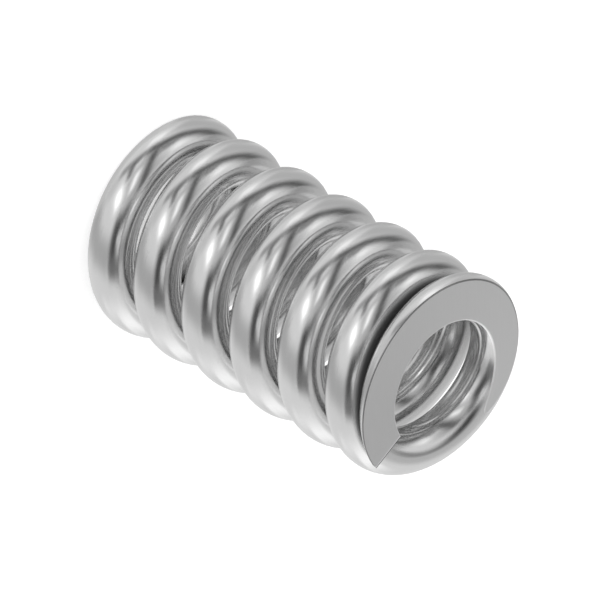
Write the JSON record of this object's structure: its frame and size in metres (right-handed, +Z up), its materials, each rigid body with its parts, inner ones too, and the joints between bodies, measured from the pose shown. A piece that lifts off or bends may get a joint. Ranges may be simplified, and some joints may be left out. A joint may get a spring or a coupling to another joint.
{
  "type": "compression spring",
  "caption": "Cylindrical compression spring of round steel wire, wound right-handed, with closed ends ground flat.",
  "frame": {"origin": "centre of the lower ground end face, on the spring's axis", "axes": "+Z up the spring's axis from the lower ground face to the upper one; +X towards the lower cut end of the wire; +Y completes the right-handed frame"},
  "size_m": [0.019, 0.019, 0.0334],
  "materials": {
    "spring_steel": "smooth drawn and polished wire, with satin ground end faces"
  },
  "bodies": {
    "root": {"spring_wire": "spring_steel"}
  },
  "joints": []
}
